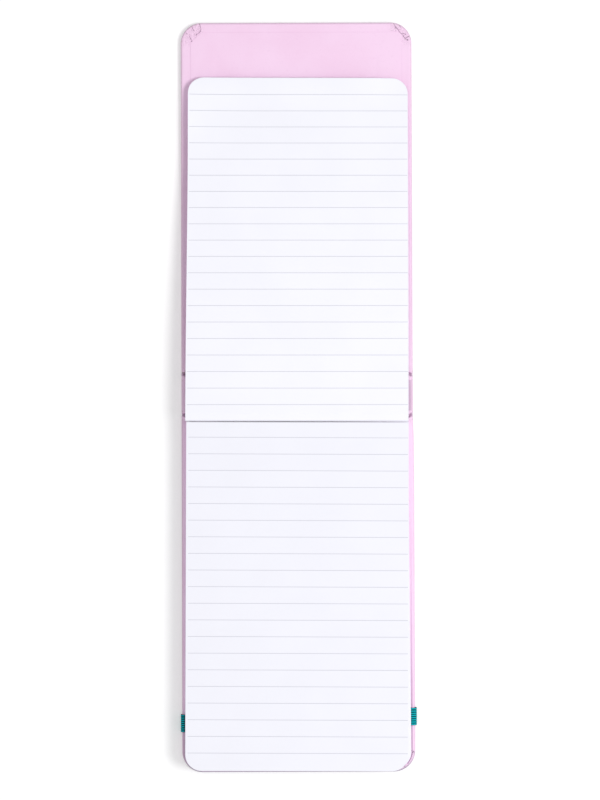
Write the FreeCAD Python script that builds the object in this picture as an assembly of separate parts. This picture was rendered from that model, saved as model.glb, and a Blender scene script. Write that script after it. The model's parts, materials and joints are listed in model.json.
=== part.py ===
import FreeCAD, Part
import math
import os

# Hardcover pocket pad, bound at its head and opened flat, in millimetres.
# +X runs across the pad, +Y from the pad towards the turned-back front cover, +Z up.
# The origin is under the middle of the spine, on the surface that the pad lies on.

# Ruled leaves
PAGE_WIDTH = 85.2
PAGE_LENGTH = 133.6
PAGE_CORNER = 6.2
BLOCK_HEIGHT = 11.4
LEAF_THICK = 0.12
LEAF_FLAT = 27.0
LEAF_LIFT = 0.15
GLUE_THICK = 0.3

# How far the case stands out past the leaves
SIDE_SQUARE = 1.9
FOOT_SQUARE = 0.55
HEAD_TO_JOINT = 2.65

# Case
BOARD_THICK = 2.0
COVER_CORNER = 7.8
WRAP_THICK = 0.25
WRAP_ROUND = 0.4
TURN_IN = 12.0
LINING_THICK = 0.15
LINING_INSET = 3.6
JOINT_GAP = 2.8
FOLD_CLEAR = 0.15
CLOSING_ROOM = 0.6

# Elastic band round the back cover
BAND_WIDTH = 6.8
BAND_THICK = 0.6
BAND_ROUND = 0.5
BAND_TAB_INSET = 3.0
BAND_FROM_FOOT = 19.65
BAND_SKEW = 3.0
BAND_CLEAR = 0.15

# Heights of the case's layers, from the surface up
case_base = BAND_THICK
board_base = case_base + WRAP_THICK
board_top = board_base + BOARD_THICK
wrap_top = board_top + WRAP_THICK
lining_top = wrap_top + LINING_THICK
block_top = lining_top + BLOCK_HEIGHT

# A joint's axis lies in the middle of its gap, low enough for the layers to clear when it folds square
axis_below_board = JOINT_GAP / 2 - FOLD_CLEAR
axis_z = board_top - axis_below_board
turn_in_start = axis_below_board + WRAP_THICK + FOLD_CLEAR
lining_start = turn_in_start + LINING_THICK

# The closed case holds the block between the two covers' linings
joint_span = BLOCK_HEIGHT + CLOSING_ROOM + 2 * (lining_top - axis_z)
axis_y = joint_span / 2
spine_half = axis_y - JOINT_GAP / 2
cover_start = axis_y + JOINT_GAP / 2
head_y = axis_y + HEAD_TO_JOINT
foot_y = head_y + PAGE_LENGTH
cover_end = foot_y + FOOT_SQUARE
page_half = PAGE_WIDTH / 2
cover_half = page_half + SIDE_SQUARE
wrap_half = cover_half + WRAP_THICK
band_half = wrap_half + BAND_THICK

FRONT = 1
BACK = -1

# Two lengths closer than this are the same length
SAME = 1e-6


def slab(half_x, y_from, y_to, z_low, z_high):
    """Square-cornered slab, centred on x = 0."""
    corner = FreeCAD.Vector(-half_x, min(y_from, y_to), z_low)
    return Part.makeBox(2 * half_x, abs(y_to - y_from), z_high - z_low, corner)


def plate(half_x, y_near, y_far, corner, z_low, z_high):
    """Slab whose two corners at y_far are rounded."""
    way = math.copysign(1, y_far - y_near)
    y_turn = y_far - way * corner
    x_turn = half_x - corner
    y_arc = y_turn + way * corner * math.sqrt(0.5)
    x_arc = x_turn + corner * math.sqrt(0.5)

    def point(x, y):
        return FreeCAD.Vector(x, y, z_low)

    edges = [
        Part.makeLine(point(-half_x, y_near), point(half_x, y_near)),
        Part.makeLine(point(half_x, y_near), point(half_x, y_turn)),
        Part.Arc(point(half_x, y_turn), point(x_arc, y_arc), point(x_turn, y_far)).toShape(),
        Part.makeLine(point(x_turn, y_far), point(-x_turn, y_far)),
        Part.Arc(point(-x_turn, y_far), point(-x_arc, y_arc), point(-half_x, y_turn)).toShape(),
        Part.makeLine(point(-half_x, y_turn), point(-half_x, y_near)),
    ]
    face = Part.Face(Part.Wire(edges))
    return face.extrude(FreeCAD.Vector(0, 0, z_high - z_low))


def soften(solid, y_open, radius):
    """Round the long outer edges of a wrapped board, except along its open joint side."""

    def outer(edge):
        box = edge.BoundBox
        along_joint = box.YLength < SAME and abs(abs(box.Center.y) - y_open) < SAME
        return box.ZLength < SAME and not along_joint

    return solid.makeFillet(radius, [edge for edge in solid.Edges if outer(edge)])


def cover_board(side):
    """Greyboard of one cover, square at the joint and round at its far corners."""
    return plate(cover_half, side * cover_start, side * cover_end, COVER_CORNER, board_base, board_top)


def cover_wrap(side):
    """Covering paper of one cover: under the board, round its edges and turned in on its inside."""
    outer_end = cover_end + WRAP_THICK
    joint_end = axis_y + FOLD_CLEAR
    turned_from = axis_y + turn_in_start
    skin = plate(wrap_half, side * joint_end, side * outer_end, COVER_CORNER + WRAP_THICK, case_base, wrap_top)
    skin = soften(skin, joint_end, WRAP_ROUND)
    skin = skin.cut(cover_board(side))
    skin = skin.cut(slab(wrap_half, side * joint_end, side * cover_start, board_base, wrap_top))
    skin = skin.cut(slab(wrap_half, side * cover_start, side * turned_from, board_top, wrap_top))
    window = slab(cover_half - TURN_IN, side * turned_from, side * (cover_end - TURN_IN), board_top, wrap_top)
    return skin.cut(window)


def cover_pastedown(side):
    """Lining of one cover: lies on the turn-ins and steps down to the board inside them."""
    near = side * (axis_y + lining_start)
    far = side * (cover_end - LINING_INSET)
    well_half = cover_half - TURN_IN
    well_far = side * (cover_end - TURN_IN)
    step_far = side * (cover_end - TURN_IN - LINING_THICK)
    corner = COVER_CORNER - LINING_INSET
    sheet = plate(cover_half - LINING_INSET, near, far, corner, wrap_top, lining_top)
    sheet = sheet.fuse(slab(well_half, near, well_far, board_top, lining_top))
    hollow = slab(well_half - LINING_THICK, near, step_far, board_top + LINING_THICK, lining_top)
    return sheet.cut(hollow).removeSplitter()


def spine_board():
    return slab(cover_half, -spine_half, spine_half, board_base, board_top)


def spine_wrap():
    """Covering paper of the spine: turned in at its two ends only, open along both joints."""
    joint_end = axis_y - FOLD_CLEAR
    turned_to = axis_y - turn_in_start
    skin = slab(wrap_half, -joint_end, joint_end, case_base, wrap_top)
    skin = soften(skin, joint_end, WRAP_ROUND)
    skin = skin.cut(spine_board())
    for side in (FRONT, BACK):
        skin = skin.cut(slab(wrap_half, side * spine_half, side * joint_end, board_base, wrap_top))
        skin = skin.cut(slab(wrap_half, side * turned_to, side * spine_half, board_top, wrap_top))
    return skin.cut(slab(cover_half - TURN_IN, -spine_half, spine_half, board_top, wrap_top))


def spine_lining():
    """Lining of the spine, on the turn-ins of its two ends and on the board between them."""
    reach = axis_y - lining_start
    well_half = cover_half - TURN_IN
    sheet = slab(cover_half - LINING_INSET, -reach, reach, wrap_top, lining_top)
    sheet = sheet.fuse(slab(well_half, -reach, reach, board_top, lining_top))
    hollow = slab(well_half - LINING_THICK, -reach, reach, board_top + LINING_THICK, lining_top)
    return sheet.cut(hollow).removeSplitter()


def band_run(x_from, x_to, z_low, z_high, spare=0.0):
    """Straight stretch of the slightly slanted band between two places across the back cover."""
    middle = -cover_end + BAND_FROM_FOOT
    half = BAND_WIDTH / 2 + spare
    corners = []
    for x, edge in ((x_from, -half), (x_to, -half), (x_to, half), (x_from, half)):
        y = middle + edge + BAND_SKEW / 2 * x / cover_half
        corners.append(FreeCAD.Vector(x, y, z_low))
    face = Part.Face(Part.makePolygon(corners + corners[:1]))
    return face.extrude(FreeCAD.Vector(0, 0, z_high - z_low))


def band_tabs(spare=0.0):
    """The band's two ends, let into the cover's inside under the lining."""
    tab_in = cover_half - TURN_IN + BAND_TAB_INSET - spare
    tabs = []
    for x_in, x_out in ((tab_in, wrap_half), (-wrap_half, -tab_in)):
        tabs.append(band_run(x_in, x_out, wrap_top - BAND_THICK, wrap_top, spare))
    return tabs


def elastic_band():
    """Band from one end's tab down round the cover's edge, under it and up to the other tab."""
    band = band_run(-band_half, band_half, 0, BAND_THICK)
    for x_low, x_high in ((wrap_half, band_half), (-band_half, -wrap_half)):
        band = band.fuse(band_run(x_low, x_high, 0, wrap_top))
    for tab in band_tabs():
        band = band.fuse(tab)
    band = band.removeSplitter()

    def outer_bend(edge):
        box = edge.BoundBox
        return abs(abs(box.Center.x) - band_half) < SAME and box.ZLength < SAME

    return band.makeFillet(BAND_ROUND, [edge for edge in band.Edges if outer_bend(edge)])


def page_block():
    return plate(page_half, -head_y, -foot_y, PAGE_CORNER, lining_top, block_top)


def head_glue():
    return slab(page_half, -head_y, -head_y + GLUE_THICK, lining_top, block_top)


def leaf_line(rise):
    """Side view of the turned leaf, a height above its underside: level over the head, down a slope,
    level again where its end lies on the front cover."""
    low = lining_top + LEAF_LIFT
    drop = block_top - low
    # Half of the drop is on the straight run and a quarter on each of its two bends, which makes the
    # run steeper than the whole by this much.
    steeper = 1.5
    slope = steeper * drop / (PAGE_LENGTH - LEAF_FLAT)
    radius = drop / (4 * (1 - math.cos(slope)))
    run = drop / (2 * math.sin(slope))
    flat = PAGE_LENGTH - GLUE_THICK - 2 * radius * slope - run
    bend_y = -head_y + GLUE_THICK
    touch_y = bend_y + 2 * radius * math.sin(slope) + run * math.cos(slope)
    upper = radius + rise
    lower = radius - rise

    def on_upper(angle):
        return FreeCAD.Vector(0, bend_y + upper * math.sin(angle), block_top - radius + upper * math.cos(angle))

    def on_lower(angle):
        return FreeCAD.Vector(0, touch_y - lower * math.sin(angle), low + radius - lower * math.cos(angle))

    start = FreeCAD.Vector(0, -head_y, block_top + rise)
    end = FreeCAD.Vector(0, touch_y + flat, low + rise)
    return [
        Part.makeLine(start, on_upper(0)),
        Part.Arc(on_upper(0), on_upper(slope / 2), on_upper(slope)).toShape(),
        Part.makeLine(on_upper(slope), on_lower(slope)),
        Part.Arc(on_lower(slope), on_lower(slope / 2), on_lower(0)).toShape(),
        Part.makeLine(on_lower(0), end),
    ]


def turned_leaf():
    """One leaf, bound at the head and turned over the spine onto the front cover."""
    under = leaf_line(0)
    over = leaf_line(LEAF_THICK)
    start = Part.makeLine(under[0].Vertexes[0].Point, over[0].Vertexes[0].Point)
    end = Part.makeLine(under[-1].Vertexes[-1].Point, over[-1].Vertexes[-1].Point)
    side = Part.Face(Part.Wire(Part.__sortEdges__(under + over + [start, end])))
    side.translate(FreeCAD.Vector(-page_half, 0, 0))
    sheet = side.extrude(FreeCAD.Vector(PAGE_WIDTH, 0, 0))
    far = sheet.BoundBox.YMax
    outline = plate(page_half, -head_y, far, PAGE_CORNER, lining_top, block_top + LEAF_THICK)
    return sheet.common(outline)


def band_bed(shape):
    """Cut the shallow beds that the band's two tabs lie in."""
    for tab in band_tabs(BAND_CLEAR):
        shape = shape.cut(tab)
    return shape


def keep(name, shape):
    """Write one piece, which has to be one solid."""
    solid = shape.Solids[0]
    print(name, "solids", len(shape.Solids), "valid", solid.isValid(), "volume %.1f" % solid.Volume)
    solid.exportStep("parts/%s.step" % name)


os.makedirs("parts", exist_ok=True)
keep("back_board", band_bed(cover_board(BACK)))
keep("back_wrap", band_bed(cover_wrap(BACK)))
keep("back_pastedown", cover_pastedown(BACK))
keep("page_block", page_block())
keep("head_glue", head_glue())
keep("turned_leaf", turned_leaf())
keep("elastic_band", elastic_band())
keep("spine_board", spine_board())
keep("spine_wrap", spine_wrap())
keep("spine_lining", spine_lining())
keep("front_board", cover_board(FRONT))
keep("front_wrap", cover_wrap(FRONT))
keep("front_pastedown", cover_pastedown(FRONT))

print("joint axes at y %.3f and %.3f, z %.3f" % (-axis_y, axis_y, axis_z))
print("case %.2f by %.2f, block top at %.2f" % (2 * wrap_half, 2 * (cover_end + WRAP_THICK), block_top))
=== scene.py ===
# %% [markdown]
# A pocket pad in a hard pink case, opened flat, with one ruled leaf turned over the spine.
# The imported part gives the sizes, the places and the three bodies: back cover, spine and front cover.
# This script keeps them and builds what the eye sees round them. It works in millimetres, because a
# binder does, and turns them into metres only where a mesh is made.

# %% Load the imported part
import json
import math

import bmesh
import bpy
from mathutils import Matrix, Vector, noise


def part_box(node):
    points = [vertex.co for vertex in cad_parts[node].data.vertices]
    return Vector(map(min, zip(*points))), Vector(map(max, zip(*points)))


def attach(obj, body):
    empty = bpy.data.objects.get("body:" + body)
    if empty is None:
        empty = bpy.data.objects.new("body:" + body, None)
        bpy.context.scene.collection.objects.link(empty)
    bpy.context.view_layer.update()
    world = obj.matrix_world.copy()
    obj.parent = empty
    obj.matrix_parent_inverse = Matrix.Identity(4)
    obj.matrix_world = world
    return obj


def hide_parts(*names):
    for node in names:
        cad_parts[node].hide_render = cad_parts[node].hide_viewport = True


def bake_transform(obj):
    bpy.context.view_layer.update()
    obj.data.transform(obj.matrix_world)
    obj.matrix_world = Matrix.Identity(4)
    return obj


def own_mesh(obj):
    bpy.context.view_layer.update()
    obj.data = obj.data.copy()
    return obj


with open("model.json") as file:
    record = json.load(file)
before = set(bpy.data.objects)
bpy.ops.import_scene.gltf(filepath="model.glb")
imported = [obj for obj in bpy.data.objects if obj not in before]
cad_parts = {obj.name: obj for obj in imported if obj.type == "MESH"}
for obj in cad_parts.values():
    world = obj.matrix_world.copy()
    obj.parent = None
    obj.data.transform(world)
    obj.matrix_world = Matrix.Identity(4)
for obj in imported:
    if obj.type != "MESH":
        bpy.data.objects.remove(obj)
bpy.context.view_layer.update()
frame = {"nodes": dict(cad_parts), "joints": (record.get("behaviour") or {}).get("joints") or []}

MM = 0.001


def node_box(name):
    """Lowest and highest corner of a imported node, in millimetres."""
    low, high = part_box(name)
    return low / MM, high / MM


print("packed nodes:", sorted(frame["nodes"]))

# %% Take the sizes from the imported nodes
wrap_low, wrap_high = node_box("front_wrap")
lining_low, lining_high = node_box("front_pastedown")
block_low, block_high = node_box("page_block")
leaf_low, leaf_high = node_box("turned_leaf")
band_low, band_high = node_box("elastic_band")
joint_y = frame["joints"][1]["pos_m"][1] / MM

case_half = wrap_high.x
case_end = wrap_high.y
case_base = wrap_low.z
wrap_top = wrap_high.z
lining_top = lining_high.z
lining_half = lining_high.x
page_half = block_high.x
head_y = block_high.y
FOOT_LONGER = 0.5
back_end = case_end + FOOT_LONGER
page_length = block_high.y - block_low.y
leaf_thick = leaf_high.z - block_high.z
print("case %.1f by %.1f mm" % (2 * case_half, 2 * case_end))
print("pages %.1f by %.1f mm" % (2 * page_half, page_length))

# %% [markdown]
# A material is a tree of nodes. Written out link by link it is hard to read, so a small class wraps a
# socket and lets plain arithmetic add the Math nodes, and a second one adds any other node in one call.

# %% Write node trees as expressions


def maths(operation, swapped=False):
    """An operator that adds one Math node."""

    def work(first, second=0.0):
        terms = (second, first) if swapped else (first, second)
        return first.plan.get("ShaderNodeMath", {"operation": operation}, dict(enumerate(terms)))

    return work


class Wire:
    """One output socket, which can be added, multiplied and compared."""

    def __init__(self, plan, socket):
        self.plan = plan
        self.socket = socket

    __add__ = __radd__ = maths("ADD")
    __sub__ = maths("SUBTRACT")
    __rsub__ = maths("SUBTRACT", swapped=True)
    __mul__ = maths("MULTIPLY")
    __truediv__ = maths("DIVIDE")
    __lt__ = maths("LESS_THAN")
    __gt__ = maths("GREATER_THAN")
    __abs__ = maths("ABSOLUTE")
    __mod__ = maths("FLOORED_MODULO")


class Plan:
    """A node tree that is built by calls."""

    def __init__(self, tree):
        self.tree = tree
        self.tree.nodes.clear()

    def plug(self, socket, value):
        if isinstance(value, Wire):
            self.tree.links.new(value.socket, socket)
        else:
            socket.default_value = value

    def add(self, kind, settings=None, values=None):
        """Any node: its settings first, then what its sockets hold, by number, identifier or name."""
        node = self.tree.nodes.new(kind)
        for name, value in (settings or {}).items():
            setattr(node, name, value)
        for key, value in (values or {}).items():
            if isinstance(key, int):
                socket = node.inputs[key]
            else:
                named = [s for s in node.inputs if s.identifier == key]
                socket = (named or [s for s in node.inputs if s.name == key])[0]
            self.plug(socket, value)
        return node

    def get(self, kind, settings=None, values=None, output=0):
        """The same, but gives the node's output."""
        return Wire(self, self.add(kind, settings, values).outputs[output])

    def noise(self, place, scale, detail=2.0):
        return self.get("ShaderNodeTexNoise", None, {"Vector": place, "Scale": scale, "Detail": detail})

    def tint(self, share, first, second):
        """Colour between first and second."""
        values = {"Factor_Float": share, "A_Color": first, "B_Color": second}
        node = self.add("ShaderNodeMix", {"data_type": "RGBA"}, values)
        return Wire(self, [s for s in node.outputs if s.identifier == "Result_Color"][0])

    def stretch(self, place, sizes):
        """The place with each axis multiplied, for grain that runs one way."""
        values = {0: place, 1: sizes}
        return self.get("ShaderNodeVectorMath", {"operation": "MULTIPLY"}, values)

    def ramp(self, value, low, high):
        """0 at low, 1 at high, smooth between them."""
        values = {"Value": value, "From Min": low, "From Max": high}
        return self.get("ShaderNodeMapRange", {"interpolation_type": "SMOOTHSTEP"}, values)

    def attribute(self, name, output="Fac"):
        node = self.add("ShaderNodeAttribute", {"attribute_name": name})
        return Wire(self, node.outputs[output])


def paint(red, green, blue):
    """A colour as a screen shows it, 0 to 255, as the linear values that a shader wants."""
    linear = []
    for share in (red / 255, green / 255, blue / 255):
        linear.append(share / 12.92 if share <= 0.04045 else ((share + 0.055) / 1.055) ** 2.4)
    return (*linear, 1.0)


def finish(name, build):
    """A material whose Principled shader gets the sockets that build returns."""
    material = bpy.data.materials.new(name)
    material.use_nodes = True
    plan = Plan(material.node_tree)
    place = plan.get("ShaderNodeTexCoord", output=3)
    shader = plan.add("ShaderNodeBsdfPrincipled", None, build(plan, place))
    plan.add("ShaderNodeOutputMaterial", None, {"Surface": Wire(plan, shader.outputs[0])})
    return material


# %% [markdown]
# The case is covered in a smooth pink paper. Real book-covering paper is never one flat colour: the dye
# is a little cloudy and the surface has a fine tooth. Shade is painted into the colour where the paper
# rounds over the board's edge, in the pleats at the corners, in the joints and along a few edges. The mesh
# says where, in an attribute, so that the painted shade follows the fold and not a guess. A second
# attribute paints a grey shade along the back cover's foot edge.

# %% Make the covering and lining papers
PINK = paint(247, 214, 241)
PINK_CLOUD = paint(244, 208, 236)
PINK_SPECK = paint(236, 196, 228)
SHADE_PINK = paint(100, 74, 102)
SHADE_GREY = paint(140, 144, 158)


def pink_paper(tooth_size, tooth_depth, roughness):
    def build(plan, place):
        cloud = plan.ramp(plan.noise(place, 45.0, 3.0), 0.35, 0.7)
        speck = plan.ramp(plan.noise(place, 900.0, 2.0), 0.55, 0.75)
        colour = plan.tint(cloud, PINK, PINK_CLOUD)
        colour = plan.tint(speck * 0.18, colour, PINK_SPECK)
        # Painted shade over the rounded edges, in the pleats, the grooves and the joints, from the mesh
        colour = plan.tint(plan.attribute("painted_shade"), colour, SHADE_PINK)
        # Painted grey shade along the back cover's foot edge
        colour = plan.tint(plan.attribute("grey_shade"), colour, SHADE_GREY)
        fibre = plan.noise(plan.stretch(place, (1.0, 0.25, 1.0)), tooth_size, 3.0)
        dent = plan.noise(place, 260.0, 2.0)
        height = fibre * 0.7 + dent * 0.6
        bump = plan.get("ShaderNodeBump", None, {"Strength": 0.35, "Distance": tooth_depth, "Height": height})
        shine = roughness + (dent - 0.5) * 0.12
        return {"Base Color": colour, "Roughness": shine, "Normal": bump, "Specular IOR Level": 0.35}

    return build


covering_paper = finish("covering_paper", pink_paper(2400.0, 0.00003, 0.5))
lining_paper = finish("lining_paper", pink_paper(1700.0, 0.00002, 0.58))

# %% [markdown]
# The leaves are uncoated white paper, ruled in pale grey. The rules are printed, so they belong to the
# leaf and not to the room: each leaf carries its own place, across and down from its glued head, in an
# attribute, and the material draws the lines from that. The lines stop just short of the leaf's sides.

# %% Make the ruled paper
RULE_PITCH = 6.35
RULE_FIRST = 6.02
RULE_COUNT = 20
RULE_HALF = 0.09
RULE_MARGIN = 0.48
PAPER_WHITE = paint(247, 247, 255)
PAPER_CLOUD = paint(245, 245, 253)
PAPER_SHADE = paint(226, 226, 236)
INK = paint(199, 199, 210)


def ruled(plan, place):
    spot = plan.attribute("leaf_place", "Vector")
    parts = plan.add("ShaderNodeSeparateXYZ", None, {0: spot})
    across, down = Wire(plan, parts.outputs[0]), Wire(plan, parts.outputs[1])
    step = (down - (RULE_FIRST - RULE_PITCH / 2) * MM) / (RULE_PITCH * MM)
    from_rule = abs(step % 1.0 - 0.5) * RULE_PITCH
    ink = 1 - plan.ramp(from_rule, RULE_HALF * 0.7, RULE_HALF * 1.4)
    inside = (step > 0.0) * (step < float(RULE_COUNT))
    rule_end = (page_half - RULE_MARGIN) * MM
    within = 1 - plan.ramp(abs(across), rule_end - 0.1 * MM, rule_end)
    patchy = plan.noise(place, 3200.0, 1.0) * 0.35 + 0.8
    rule = ink * inside * within * patchy
    cloud = plan.ramp(plan.noise(place, 60.0, 3.0), 0.3, 0.75)
    colour = plan.tint(cloud, PAPER_WHITE, PAPER_CLOUD)
    colour = plan.tint(plan.attribute("sheet_shade") * 0.5, colour, PAPER_SHADE)
    colour = plan.tint(rule, colour, INK)
    fibre = plan.noise(plan.stretch(place, (0.5, 1.0, 1.0)), 2100.0, 3.0)
    bump = plan.get("ShaderNodeBump", None, {"Strength": 0.25, "Distance": 0.00002, "Height": fibre})
    return {"Base Color": colour, "Roughness": 0.72 + fibre * 0.1, "Normal": bump, "Specular IOR Level": 0.3}


ruled_paper = finish("ruled_paper", ruled)

# %% [markdown]
# The elastic is a woven band. Its warp lies in cords along the band, which the mesh has, and the weft
# crosses them in a fine ladder, which is too small to model. The material makes that ladder as a wave
# along each cord, from an attribute that holds the distance along the band. A second attribute paints
# shade, nearly black, into the grooves between the cords and close beside the pages on the shaded side.

# %% Make the elastic
WEFT_PER_MM = 3.2
TEAL = paint(0, 160, 170)
TEAL_LIGHT = paint(20, 204, 212)
TEAL_SHADE = paint(0, 46, 60)


def woven(plan, place):
    run = plan.attribute("thread_run")
    ladder = plan.get("ShaderNodeMath", {"operation": "SINE"}, {0: run * (2 * math.pi * WEFT_PER_MM / MM)})
    fuzz = plan.noise(place, 2600.0, 2.0)
    thread = ladder * 0.5 + 0.5
    colour = plan.tint(thread * 0.5 + fuzz * 0.4, TEAL, TEAL_LIGHT)
    # Painted shade, nearly black, in the grooves between cords and beside the pages on the shaded side
    groove = plan.ramp(plan.attribute("cord_shade"), 0.3, 0.75)
    colour = plan.tint(groove, colour, TEAL_SHADE)
    height = thread * 0.6 + fuzz * 0.5
    bump = plan.get("ShaderNodeBump", None, {"Strength": 0.6, "Distance": 0.00006, "Height": height})
    return {
        "Base Color": colour, "Roughness": 0.62 + fuzz * 0.15, "Normal": bump,
        "Specular IOR Level": 0.1,
    }


woven_elastic = finish("woven_elastic", woven)

# %% [markdown]
# The boards are grey pulp, pressed from waste paper, with dark and light specks. The glue on the head is
# a thin white coat that dries with a slight ripple. The boards are hidden in the paper, and the glue is
# seen only from behind the pad's head.

# %% Make the board and the glue
BOARD_DARK = paint(168, 160, 150)
BOARD_LIGHT = paint(196, 189, 178)
GLUE_LIGHT = paint(232, 233, 236)
GLUE_DARK = paint(212, 213, 218)


def pulp(plan, place):
    speck = plan.ramp(plan.noise(place, 700.0, 4.0), 0.42, 0.62)
    colour = plan.tint(speck, BOARD_DARK, BOARD_LIGHT)
    bump = plan.get("ShaderNodeBump", None, {"Strength": 0.5, "Distance": 0.0001, "Height": speck})
    return {"Base Color": colour, "Roughness": 0.85 + speck * 0.1, "Normal": bump}


def dried_glue(plan, place):
    ripple = plan.noise(plan.stretch(place, (1.0, 1.0, 3.0)), 420.0, 3.0)
    colour = plan.tint(ripple, GLUE_LIGHT, GLUE_DARK)
    bump = plan.get("ShaderNodeBump", None, {"Strength": 0.5, "Distance": 0.00015, "Height": ripple})
    return {"Base Color": colour, "Roughness": 0.3 + ripple * 0.25, "Normal": bump}


greyboard = finish("greyboard", pulp)
binding_glue = finish("binding_glue", dried_glue)
for node in ("back_board", "spine_board", "front_board"):
    frame["nodes"][node].data.materials.clear()
    frame["nodes"][node].data.materials.append(greyboard)
print("materials:", [material.name for material in bpy.data.materials])

# %% [markdown]
# Every piece below becomes a plain closed mesh. One helper turns points in millimetres and faces into an
# object at the origin, makes the faces point outwards, and shades it smooth but for its sharp edges.

# %% Turn points and faces into a piece


def make_piece(name, points, faces, material, sharp_deg=40.0, attributes=None, thickness=0.0):
    """A mesh object. A thickness gives an open skin its inner side, below the faces."""
    mesh = bpy.data.meshes.new(name)
    mesh.from_pydata([[part * MM for part in point] for point in points], [], faces)
    for key, values in (attributes or {}).items():
        kind = "FLOAT_VECTOR" if isinstance(values[0], tuple) else "FLOAT"
        field = "vector" if kind == "FLOAT_VECTOR" else "value"
        flat = [part for value in values for part in value] if kind == "FLOAT_VECTOR" else values
        mesh.attributes.new(key, kind, "POINT").data.foreach_set(field, flat)
    mesh.materials.append(material)
    piece = bpy.data.objects.new(name, mesh)
    bpy.context.scene.collection.objects.link(piece)
    if thickness:
        give_thickness(piece, thickness)
    tidy(piece, sharp_deg)
    return piece


# %% Finish a piece's mesh


def give_thickness(piece, thickness):
    """Solidify the skin inwards and keep the result as a plain mesh."""
    shell = piece.modifiers.new("thickness", "SOLIDIFY")
    shell.thickness = thickness * MM
    shell.offset = -1.0
    freeze(piece)


def freeze(piece):
    """Replace the piece's mesh by what its modifiers make, and take the modifiers off."""
    graph = bpy.context.evaluated_depsgraph_get()
    graph.update()
    made = bpy.data.meshes.new_from_object(piece.evaluated_get(graph), depsgraph=graph)
    made.name = piece.name
    piece.modifiers.clear()
    piece.data = made


def tidy(piece, sharp_deg):
    """Outward faces, smooth shading and sharp edges where the surface turns hard."""
    work = bmesh.new()
    work.from_mesh(piece.data)
    bmesh.ops.recalc_face_normals(work, faces=work.faces)
    work.to_mesh(piece.data)
    work.free()
    piece.data.shade_smooth()
    piece.data.set_sharp_from_angle(angle=math.radians(sharp_deg))


# %% Join rows of points and shape soft steps


def loft(rows, closed):
    """Quads between neighbouring rows of points. closed joins each row's last point to its first."""
    count = len(rows[0])
    faces = []
    for row in range(len(rows) - 1):
        for k in range(count if closed else count - 1):
            nxt = (k + 1) % count
            a, b = row * count + k, row * count + nxt
            faces.append((a, b, b + count, a + count))
    return [point for row in rows for point in row], faces


def end_caps(points, count):
    """The first and the last row of a closed loft as flat faces."""
    return [tuple(range(count)), tuple(range(len(points) - count, len(points)))]


def smooth_share(value, low, high):
    """0 at low, 1 at high, with no corner between them."""
    t = min(max((value - low) / (high - low), 0.0), 1.0)
    return t * t * (3 - 2 * t)


def hill(value, middle, width):
    """1 at the middle, falling off softly on both sides."""
    return math.exp(-(((value - middle) / width) ** 2))


# %% [markdown]
# Each cover is a board wrapped in the pink paper, which turns over the edge and about 12 mm onto the
# inside. A scaled box would have the wrong edge: paper rounds softly over a board. So the skin is swept
# round the cover's three free edges from one section, from the turn-in on the inside, over the edge and
# under, and the underside is closed with one flat face. At the round corners, the paper is gathered in
# pleats. They are short lines, given as their distances in from the side and from the end of the cover,
# and each one sinks into the turn-in, with shade painted along it.

# %% Give the covering its sizes
EDGE_ROUND = 0.9
EDGE_STEPS = 6
SKIN = 0.25
TURN_SHOWN = 7.0
TURN_STEPS = 48
RIGID_FROM = lining_low.y
CORNER = 8.05
LINING_EDGE = case_half - lining_half

# The right side of the back cover widens a little from the joint to this far along
SPREAD = 0.4
SPREAD_END = 22.0

# The elastic pulls that side up into a low swell, with a thin line of painted shade at its inner foot
BAND_HALF = 3.4
BAND_CLEAR_RUN = (3.5, 5.5)
SWELL = 0.34
SWELL_PLACE, SWELL_WIDTH = 0.95, 0.42
SWELL_RUN = (45.0, 105.0)
SWELL_SHADE = 0.4
SWELL_SHADE_PLACE, SWELL_SHADE_WIDTH = 1.25, 0.16
SWELL_SHADE_RUN = (95.0, 112.0)

# Share of painted shade over the rounded edges, most on the left, away from the lamp, in grey along the
# back cover's foot; on the spine's inner right strip, in the left foot corner and along the lining's edge
RIM_RIGHT = 0.04
RIM_LEFT = 0.15
RIM_TOP = 0.2
RIM_FOOT = 0.8
RIM_FROM = 0.1
SPINE_SHADE = 0.3
SPINE_SHADE_RUN = (-0.4, 1.2)
FOOT_SHADE = 0.42
FOOT_SHADE_RUN = (127.0, 131.0)
LINING_STEP_SHADE = 0.11
LINING_STEP_SHADE_WIDTH = 0.13

# %% Draw the pleats of the corners
PLEAT_DEPTH = 0.17
PLEAT_WIDTH = 0.1
PLEAT_JAG = 0.3
RIDGE_LIFT = 0.09
RIDGE_AWAY = 0.38
RIDGE_WIDTH = 0.2
CRUMPLE = 0.16
MOTTLE = 0.55
CORNER_FADE = (CORNER - 1, CORNER + 2)
STRAIGHT_FADE = (CORNER - 1, CORNER + 3)
JAG_SCALE, CRUMPLE_SCALE, FINE_SCALE, MOTTLE_SCALE, BREAK_SCALE = 2.6, 1.5, 3.6, 3.0, 1.7

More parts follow.
